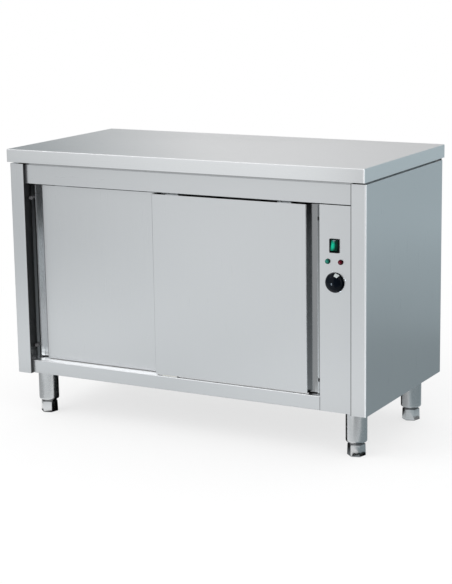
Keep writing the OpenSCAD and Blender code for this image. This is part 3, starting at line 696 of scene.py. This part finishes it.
# ---------------------------------------------------------------- operators
class CABINET_OT_steel(bpy.types.Operator):
    """Gives the sheet pieces their brushed steel, with the strokes along each piece"""

    bl_idname = "cabinet.steel"
    bl_label = "Brushed steel"

    def execute(self, context):
        steel = context.scene.cabinet_steel
        for axis, names in (("X", GRAIN_X), ("Y", GRAIN_Y), ("Z", GRAIN_Z)):
            dress(names, brushed_steel("steel_brushed_" + axis.lower(), steel, axis))
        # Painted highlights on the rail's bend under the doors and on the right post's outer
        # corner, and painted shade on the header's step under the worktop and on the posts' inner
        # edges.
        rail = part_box("right_door_skin")[0].z - 0.003
        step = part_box("control_panel")[1].z + 0.0615
        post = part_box("header")[1].x
        for node, name, axis, painted_shade, painted_highlight in (
            ("base_shelf", "base_shelf", "X", None, ("Z", rail - 0.0014, rail + 0.0006, 1.45)),
            ("header", "header", "X", ("Z", step, 1.0, 0.6), None),
            (
                "right_side", "right_post", "Z", ("X", post - 0.003, post + 0.0028, 0.08),
                corner_highlight("right_side", 1.28),
            ),
            ("left_side", "left_post", "Z", ("X", -post - 0.0008, 0.0, 0.12), None),
        ):
            dress((node,), brushed_steel("steel_" + name, steel, axis, painted_shade=painted_shade, painted_highlight=painted_highlight))
        # The right door's finger channel is painted darker, a painted shade in the recess; the
        # left door's keeps the sheet's colour.
        for door, tone in (("right_door", 0.42), ("left_door", 1.0)):
            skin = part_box(door + "_skin")
            channel = ("Y", skin[0].y + CHANNEL_START, skin[1].y + 0.1, tone)
            mat = brushed_steel("steel_" + door, steel, "Z", smooth_shaded_channel=channel)
            dress((door + "_skin", door + "_liner"), mat)
        dress(LEG_TUBES, polished_tube("steel_leg_tube", tuple(steel.leg_colour), 0.22))
        return {"FINISHED"}


class CABINET_OT_worktop(bpy.types.Operator):
    """Makes the folded worktop with its rounded edges and corners"""

    bl_idname = "cabinet.worktop"
    bl_label = "Worktop"

    def execute(self, context):
        steel = context.scene.cabinet_steel
        centre, low, high = middle("worktop")
        size = high - low
        bm = bmesh.new()
        bmesh.ops.create_cube(bm, size=1.0)
        bmesh.ops.scale(bm, verts=bm.verts, vec=size)
        bmesh.ops.translate(bm, verts=bm.verts, vec=centre)
        folds = [e for e in bm.edges if max(v.co.z for v in e.verts) > high.z - 1e-6]
        under = min(bm.faces, key=lambda f: f.calc_center_median().z)
        bmesh.ops.inset_region(bm, faces=[under], thickness=steel.flange, use_even_offset=True)
        wall = steel.sheet
        widen = Vector((1.0, 1.0, 1.0))
        for i in (0, 1):
            widen[i] = (size[i] - 2 * wall) / (size[i] - 2 * steel.flange)
        for rise, wider in ((wall, None), (0.0, widen), (size.z - 2 * wall, None)):
            under = bmesh.ops.extrude_discrete_faces(bm, faces=[under])["faces"][0]
            bmesh.ops.translate(bm, verts=under.verts, vec=(0, 0, rise))
            if wider:
                about = Matrix.Translation(-centre)
                bmesh.ops.scale(bm, verts=under.verts, vec=wider, space=about)
        soften(bm, folds, steel.edge_radius, 5)
        # The worktop's lighter colour is painted light, and its front right corner has a painted
        # highlight.
        mat = brushed_steel(
            "steel_worktop", steel, "X", colour=steel.worktop_lit_colour,
            painted_highlight=corner_highlight("worktop", 1.25),
        )
        top = finish_piece(bm, "worktop_sheet", mat, "cabinet", 50.0)
        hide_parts("worktop")
        return {"FINISHED"}


class CABINET_OT_feet(bpy.types.Operator):
    """Makes the four hexagonal feet with their threaded stems"""

    bl_idname = "cabinet.feet"
    bl_label = "Feet"

    def execute(self, context):
        steel = context.scene.cabinet_steel
        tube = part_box(LEG_TUBES[0])[0].z
        # The neck under each tube is painted darker: painted shade in the gap between tube and
        # foot.
        neck_shade = (tube - FOOT_NECK - 0.0003, tube)
        mat = polished_tube("steel_foot", tuple(steel.leg_colour), neck=neck_shade)
        for node, (body, turn) in FEET.items():
            centre, _, high = middle(node)
            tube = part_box(node.replace("foot", "leg"))[0].z
            foot = hex_foot(steel.foot_radius, tube, high.z, turn)
            bmesh.ops.translate(foot, verts=foot.verts, vec=(centre.x, centre.y, 0.0))
            piece = finish_piece(foot, node + "_hex", mat, body, 28.0)
            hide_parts(node)
        return {"FINISHED"}


class CABINET_OT_zinc(bpy.types.Operator):
    """Gives the back, the track and the inner sheet pieces their zinc coat"""

    bl_idname = "cabinet.zinc"
    bl_label = "Zinc coat"

    def execute(self, context):
        zinc = tuple(context.scene.cabinet_steel.zinc_colour)
        dress(ZINC_SHEET, zinc_sheet("zinc_sheet", zinc))
        dress(ZINC_SMALL, tinted_metal("zinc_screws", shade(zinc, 0.9), shade(zinc, 1.15), 0.35))
        return {"FINISHED"}


class CABINET_OT_moulded(bpy.types.Operator):
    """Gives the plastic, rubber, wool and heater pieces their finishes"""

    bl_idname = "cabinet.moulded"
    bl_label = "Plastic and inner parts"

    def execute(self, context):
        dress(NYLON, moulded("nylon", (0.74, 0.74, 0.70), 0.42))
        dress(BLACK_MOULDED, moulded("black_plastic", (0.004, 0.004, 0.005), 0.34, gloss=0.08))
        dress(PALE_MOULDED, moulded("pale_plastic", (0.74, 0.72, 0.64), 0.4))
        dress(("door_bumpers",), moulded("rubber", (0.11, 0.11, 0.115), 0.8))
        dress(WOOL, mineral_wool("mineral_wool"))
        copper = tinted_metal("copper", (0.72, 0.34, 0.20), (0.86, 0.46, 0.28), 0.3)
        dress(("thermostat_bulb",), copper)
        sheath = tinted_metal("heater_sheath", (0.16, 0.15, 0.15), (0.30, 0.24, 0.20), 0.5)
        dress(("heater_element",), sheath)
        return {"FINISHED"}


class CABINET_OT_knob(bpy.types.Operator):
    """Makes the domed knob with its skirt and the pointer let into it, a white wedge that is both
    the pointer line and a painted highlight on the dome's top right
    """

    bl_idname = "cabinet.knob"
    bl_label = "Knob"

    def execute(self, context):
        controls = context.scene.cabinet_controls
        centre, low, high = middle("knob")
        r, length = controls.knob_radius, high.y - low.y
        skirt, rim = 0.0030, r - 0.0012  # the skirt's height and the radius above it
        cap = length * 0.71
        ball = (rim * rim + cap * cap) / (2 * cap)
        tilt = math.asin(rim / ball)
        outline = [
            (r, 0.0004), (r, skirt - 0.0006), (r - 0.0004, skirt - 0.0001), (rim, skirt),
            (rim, length - cap - 0.0012),
        ]
        steps, rim_edge = 9, 0.0003
        for i in range(steps):
            a = tilt * (1 - i / steps)
            inset = rim_edge if i == 0 else 0.0
            outline.append((ball * math.sin(a) - inset, length - ball + ball * math.cos(a)))
        profile = [(0.0, 0.0), (r - 0.0008, 0.0)] + outline + [(0.0, length)]
        bm = turned(profile, controls.segments)
        face_front(bm, centre.x, high.y, centre.z)
        gloss = moulded("knob_gloss", tuple(controls.knob_colour), 0.09, 500.0, 0.00001, 0.09)
        knob = finish_piece(bm, "knob_dome", gloss, "dial", 50.0)
        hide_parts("knob")

        # The pointer wedge stands at the dome's top right: the knob's pointer, and a painted
        # highlight there too.
        bm = bmesh.new()
        path = [p for p in outline if 0.0045 < p[1] < length * 0.72]
        sunk, proud = 0.0012, 0.00022
        inner = [bm.verts.new((0.0, radius - sunk, height - 0.0004)) for radius, height in path]
        outer = [bm.verts.new((0.0, radius + proud, height + 0.0002)) for radius, height in path]
        side = bm.faces.new(outer + inner[::-1])
        wedge = controls.pointer_spread
        turn_verts(bm, bm.verts, wedge / 2, "Z")
        bmesh.ops.spin(
            bm, geom=[side], cent=(0, 0, 0), axis=(0, 0, 1), angle=-math.radians(wedge), steps=10,
            use_merge=False, use_duplicate=False,
        )
        bmesh.ops.triangulate(bm, faces=[f for f in bm.faces if len(f.verts) > 4])
        turn_verts(bm, bm.verts, -controls.pointer_angle, "Z")
        face_front(bm, centre.x, high.y, centre.z)
        white = moulded("pointer_highlight_white", tuple(controls.pointer_and_highlight_colour), 0.3)
        finish_piece(bm, "knob_pointer_highlight", white, "dial", 30.0)
        return {"FINISHED"}


class CABINET_OT_rocker(bpy.types.Operator):
    """Makes the lit rocker with its softened edges"""

    bl_idname = "cabinet.rocker"
    bl_label = "Rocker"

    def execute(self, context):
        controls = context.scene.cabinet_controls
        tilt = next(j for j in frame["joints"] if j["name"] == "rocker_tilt")
        pivot = Vector(tilt["pos_m"])
        half = ROCKER_WIDTH / 2
        bm = bmesh.new()
        side = bm.faces.new([bm.verts.new((-half, y, z)) for y, z in ROCKER_SIDE])
        grown = bmesh.ops.extrude_face_region(bm, geom=[side])
        moved = [v for v in grown["geom"] if isinstance(v, bmesh.types.BMVert)]
        bmesh.ops.translate(bm, verts=moved, vec=(ROCKER_WIDTH, 0, 0))
        rims = [e for e in bm.edges if abs(e.verts[0].co.x - e.verts[1].co.x) < 1e-6]
        soften(bm, rims, 0.0009, 3)
        pin_radius, pin_length, sunk = 0.0015, 0.003, 0.0002
        for s in (-1, 1):
            pin = bmesh.ops.create_cone(
                bm, cap_ends=True, segments=24, radius1=pin_radius, radius2=pin_radius,
                depth=pin_length,
            )["verts"]
            turn_verts(bm, pin, 90, "Y")
            bmesh.ops.translate(bm, verts=pin, vec=(s * (half - sunk), 0, 0))
        turn_verts(bm, bm.verts, ROCKER_REST, "X")
        bmesh.ops.translate(bm, verts=bm.verts, vec=pivot)
        lamp, reach = pivot + Vector((-0.0048, -0.009, 0.001)), (0.0088, 0.010, 0.018)
        lit = lit_plastic(
            "rocker_green", lamp, reach, tuple(controls.rocker_lit), tuple(controls.rocker_dark),
            0.35,
        )
        rocker = finish_piece(bm, "rocker_key", lit, "rocker", 30.0)
        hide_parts("switch_rocker")
        return {"FINISHED"}


class CABINET_OT_lamps(bpy.types.Operator):
    """Makes the two domed pilot lamp lenses"""

    bl_idname = "cabinet.lamps"
    bl_label = "Pilot lamps"

    def execute(self, context):
        controls = context.scene.cabinet_controls
        collar, steps = 0.0022, 10
        for node, colour, name in (
            ("green_lens", tuple(controls.green_lamp), "lens_green"),
            ("red_lens", tuple(controls.red_lamp), "lens_red"),
        ):
            centre, low, high = middle(node)
            r, length = (high.x - low.x) / 2, high.y - low.y
            outline = [(0.0, 0.0), (r - 0.0002, 0.0), (r, 0.0002)]
            for i in range(steps):
                a = math.radians(90 * i / steps)
                outline.append((r * math.cos(a), collar + (length - collar) * math.sin(a)))
            bm = turned(outline + [(0.0, length)], controls.segments)
            face_front(bm, centre.x, high.y, centre.z)
            lamp, reach = (centre.x - 0.001, low.y, centre.z + 0.001), (0.008, 0.012, 0.008)
            lit = lit_plastic(name, lamp, reach, shade(colour, 1.5), shade(colour, 0.45), 0.15)
            lens = finish_piece(bm, name + "_dome", lit, "cabinet", 40.0)
            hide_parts(node)
        return {"FINISHED"}


def studio_floor(settings):
    """A pale floor that fades to white with distance, and whose shadows are lifted."""
    bm = bmesh.new()
    bmesh.ops.create_circle(bm, cap_ends=True, segments=96, radius=settings.floor_radius)
    floor = place_mesh(bm, "studio_floor")
    mat, tree, shader = begin_finish("studio_floor")
    shader.inputs["Base Color"].default_value = (*settings.floor_colour, 1.0)
    shader.inputs["Roughness"].default_value = 0.9
    shader.inputs["Specular IOR Level"].default_value = 0.0
    white = tree.nodes.new("ShaderNodeEmission")
    white.inputs["Strength"].default_value = 1.0
    distance = tree.nodes.new("ShaderNodeVectorMath")
    distance.operation = "LENGTH"
    tree.links.new(place_pattern(tree), distance.inputs[0])
    fade_start, fade_end = 0.75, 2.2
    far = spread(
        tree, distance.outputs["Value"], settings.floor_lift, 1.0, fade_start, fade_end,
    )
    path = tree.nodes.new("ShaderNodeLightPath").outputs
    seen = combine(tree, "MAXIMUM", path["Is Camera Ray"], path["Is Glossy Ray"])
    lift = tree.nodes.new("ShaderNodeMixShader")
    tree.links.new(combine(tree, "MULTIPLY", seen, far), lift.inputs["Fac"])
    tree.links.new(shader.outputs["BSDF"], lift.inputs[1])
    tree.links.new(white.outputs["Emission"], lift.inputs[2])
    out = next(n for n in tree.nodes if n.type == "OUTPUT_MATERIAL")
    tree.links.new(lift.outputs["Shader"], out.inputs["Surface"])
    floor.data.materials.append(mat)


def studio_world(settings):
    world = bpy.data.worlds.new("studio_room")
    bpy.context.scene.world = world
    world.use_nodes = True
    room = world.node_tree.nodes["Background"]
    room.inputs["Color"].default_value = (1.0, 1.0, 1.0, 1.0)
    room.inputs["Strength"].default_value = settings.room_light


def studio_camera(settings):
    """Puts the camera where the photograph was taken from."""
    yaw, pitch, roll = (math.radians(angle) for angle in CAMERA_TURN)
    flat = math.cos(pitch)
    ahead = Vector((-math.sin(yaw) * flat, math.cos(yaw) * flat, -math.sin(pitch)))
    level = Vector((math.cos(yaw), math.sin(yaw), 0.0))
    upright = level.cross(ahead)
    right = math.cos(roll) * level + math.sin(roll) * upright
    up = -math.sin(roll) * level + math.cos(roll) * upright
    data = bpy.data.cameras.new("camera")
    data.lens = settings.lens
    data.sensor_width = 36.0
    camera = bpy.data.objects.new("camera", data)
    turn = Matrix((right, up, -ahead)).transposed().to_4x4()
    camera.matrix_world = Matrix.Translation(CAMERA_PLACE) @ turn
    bpy.context.scene.collection.objects.link(camera)
    bpy.context.scene.camera = camera


def softbox(name, power, size, place, aim):
    data = bpy.data.lights.new(name, "AREA")
    data.shape = "RECTANGLE"
    data.size, data.size_y = size
    data.energy = power
    lamp = bpy.data.objects.new(name, data)
    lamp.location = place
    lamp.rotation_euler = (Vector(aim) - Vector(place)).to_track_quat("-Z", "Y").to_euler()
    bpy.context.scene.collection.objects.link(lamp)
    return lamp


def lit_group(name, pieces):
    group = bpy.data.collections.new(name)
    for piece in pieces:
        group.objects.link(bpy.data.objects[piece])
    return group


def card(name, corners, axis, stops, only=()):
    """A plain card that only reflections see. Its stops are (place, level, coolness).

    With only, it lights the named pieces alone and is clear to the rest.
    """
    bm = bmesh.new()
    bm.faces.new([bm.verts.new(c) for c in corners])
    board = place_mesh(bm, name)
    mat = bpy.data.materials.new(name)
    mat.use_nodes = True
    tree = mat.node_tree
    tree.nodes.clear()
    out = tree.nodes.new("ShaderNodeOutputMaterial")
    glow = tree.nodes.new("ShaderNodeEmission")
    split = tree.nodes.new("ShaderNodeSeparateXYZ")
    ramp = tree.nodes.new("ShaderNodeValToRGB")
    tree.links.new(place_pattern(tree), split.inputs["Vector"])
    first, last = stops[0][0], stops[-1][0]
    along = spread(tree, split.outputs[axis], 0.0, 1.0, first, last)
    tree.links.new(along, ramp.inputs["Fac"])
    elements = ramp.color_ramp.elements
    while len(elements) < len(stops):
        elements.new(0.5)
    # All places first, so that each colour lands on the element of its own stop.
    for element, (at, _, _) in zip(elements, stops):
        element.position = (at - first) / (last - first)
    for element, (_, level, cool) in zip(elements, stops):
        element.color = (*(level * (1.0 - cool * (1.0 - c)) for c in BLUE_SHADE), 1.0)
    tree.links.new(ramp.outputs["Color"], glow.inputs["Color"])
    tree.links.new(glow.outputs["Emission"], out.inputs["Surface"])
    if only:
        clear = tree.nodes.new("ShaderNodeBsdfTransparent")
        both = tree.nodes.new("ShaderNodeAddShader")
        tree.links.new(clear.outputs["BSDF"], both.inputs[0])
        tree.links.new(glow.outputs["Emission"], both.inputs[1])
        tree.links.new(both.outputs["Shader"], out.inputs["Surface"])
        board.light_linking.receiver_collection = lit_group(name + "_lit", only)
    board.data.materials.append(mat)
    board.visible_camera = False
    board.visible_diffuse = False
    board.visible_shadow = False
    board.visible_transmission = False


def gap_cards():
    """Cards inside the narrow gaps round the doors, which brighten what the gaps show, and dark
    cards of painted shade under the feet and in the left door's slot.
    """
    left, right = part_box("left_door_skin"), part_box("right_door_skin")
    panel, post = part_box("control_panel")[0].x, -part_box("header")[1].x
    low, high = right[0].z, right[1].z
    behind = 0.013  # from a door's face back to the cards beside and under it

    # In the joint between the right door and the control panel, and on the rail under the doors.
    y = right[0].y + behind
    corners = wall_card(right[1].x + 0.0005, y, panel - 0.0005, y, low, high)
    card("joint_card", corners, "Z", [(low, 1.1, 0.4), (high, 0.35, 0.4)])
    for name, door, start, end, amount in (
        ("right_base_card", right, right[0].x, right[1].x - 0.036, 0.85),
        ("left_base_card", left, left[0].x + 0.027, right[0].x, 0.40),
    ):
        y = door[0].y + behind
        corners = wall_card(start, y, end, y, low - 0.0028, low - 0.0002)
        card(name, corners, "X", [(start, amount, 0.0), (end, amount, 0.0)])

    # On the rail's ledge before the left door, and at the foot of each finger channel.
    y, bottom, top = left[0].y - 0.0008, low - 0.003, low + 0.02
    corners = wall_card(left[0].x, y, right[0].x, y, bottom, top)
    stops = [(bottom, 0.45, 0.0), (top, 0.45, 0.0)]
    card("left_ledge_card", corners, "Z", stops, ("base_shelf",))
    for door, start, end, amount in (
        ("left_door_skin", left[0].x + 0.0015, left[0].x + 0.0255, 0.9),
        ("right_door_skin", right[1].x - 0.020, right[1].x - 0.002, 0.6),
    ):
        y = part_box(door)[0].y + 0.0175
        corners = wall_card(start, y, end, y, low, low + 0.03)
        stops = [(low, amount, 0.2), (low + 0.01, amount * 0.5, 0.2), (low + 0.03, 0.0, 0.2)]
        card(door + "_foot_card", corners, "Z", stops, (door,))

    # Black cards under the shaded feet, painted shadows, and a dark card in the slot between the
    # left door and its post, painted shade that is darker towards the top.
    for node in SHADED_FEET:
        x, y = middle(node)[0][:2]
        start, end = x - 0.002, x + 0.045
        corners = level_card(start, y - 0.045, end, y + 0.02, 0.0026)
        card(node + "_shade", corners, "X", [(start, 0.0, 0.0), (end, 0.0, 0.0)])
    y, half_way = left[0].y + 0.009, 0.45
    corners = wall_card(post + 0.0006, y, left[0].x - 0.0008, y, low, high)
    stops = [(low, 0.16, 0.6), (half_way, 0.10, 0.6), (high, 0.01, 0.6)]
    card("left_slot_card", corners, "Z", stops)


class CABINET_OT_stage(bpy.types.Operator):
    """Makes the floor, the room light, the lamps, the reflection cards and the camera"""

    bl_idname = "cabinet.stage"
    bl_label = "Studio"

    def execute(self, context):
        studio = context.scene.cabinet_studio
        studio_floor(studio)
        studio_world(studio)
        softbox("key_lamp", studio.key_power, *KEY_LAMP)
        softbox("fill_lamp", studio.fill_power, *FILL_LAMP)
        for row in CARDS:
            card(*row)
        gap_cards()
        glint = softbox("glint_lamp", studio.glint_power, *GLINT_LAMP)
        glint.data.color = GLINT_COLOUR
        glint.visible_camera = False
        glint.light_linking.receiver_collection = lit_group("glossy_controls", GLOSSY_CONTROLS)
        studio_camera(studio)
        context.scene.view_settings.view_transform = "Standard"
        return {"FINISHED"}


class CABINET_PT_panel(bpy.types.Panel):
    """Lists the cabinet's settings and steps"""

    bl_idname = "CABINET_PT_panel"
    bl_label = "Plate warmer cabinet"
    bl_space_type = "VIEW_3D"
    bl_region_type = "UI"
    bl_category = "Cabinet"

    def draw(self, context):
        for group in SETTINGS:
            box = self.layout.box()
            settings = getattr(context.scene, group)
            for prop in settings.bl_rna.properties:
                if prop.identifier not in ("rna_type", "name"):
                    box.prop(settings, prop.identifier)
        for step in STEPS:
            self.layout.operator(step.bl_idname)


STEPS = (
    CABINET_OT_steel, CABINET_OT_worktop, CABINET_OT_feet, CABINET_OT_zinc, CABINET_OT_moulded,
    CABINET_OT_knob, CABINET_OT_rocker, CABINET_OT_lamps, CABINET_OT_stage,
)
CLASSES = tuple(SETTINGS.values()) + STEPS + (CABINET_PT_panel,)


def register():
    for cls in CLASSES:
        bpy.utils.register_class(cls)
    for name, group in SETTINGS.items():
        setattr(bpy.types.Scene, name, PointerProperty(type=group))


def unregister():
    for name in SETTINGS:
        delattr(bpy.types.Scene, name)
    for cls in reversed(CLASSES):
        bpy.utils.unregister_class(cls)


def main():
    register()
    bpy.ops.cabinet.steel()
    bpy.ops.cabinet.worktop()
    bpy.ops.cabinet.feet()
    bpy.ops.cabinet.zinc()
    bpy.ops.cabinet.moulded()
    bpy.ops.cabinet.knob()
    bpy.ops.cabinet.rocker()
    bpy.ops.cabinet.lamps()
    bpy.ops.cabinet.stage()


if __name__ == "__main__":
    main()
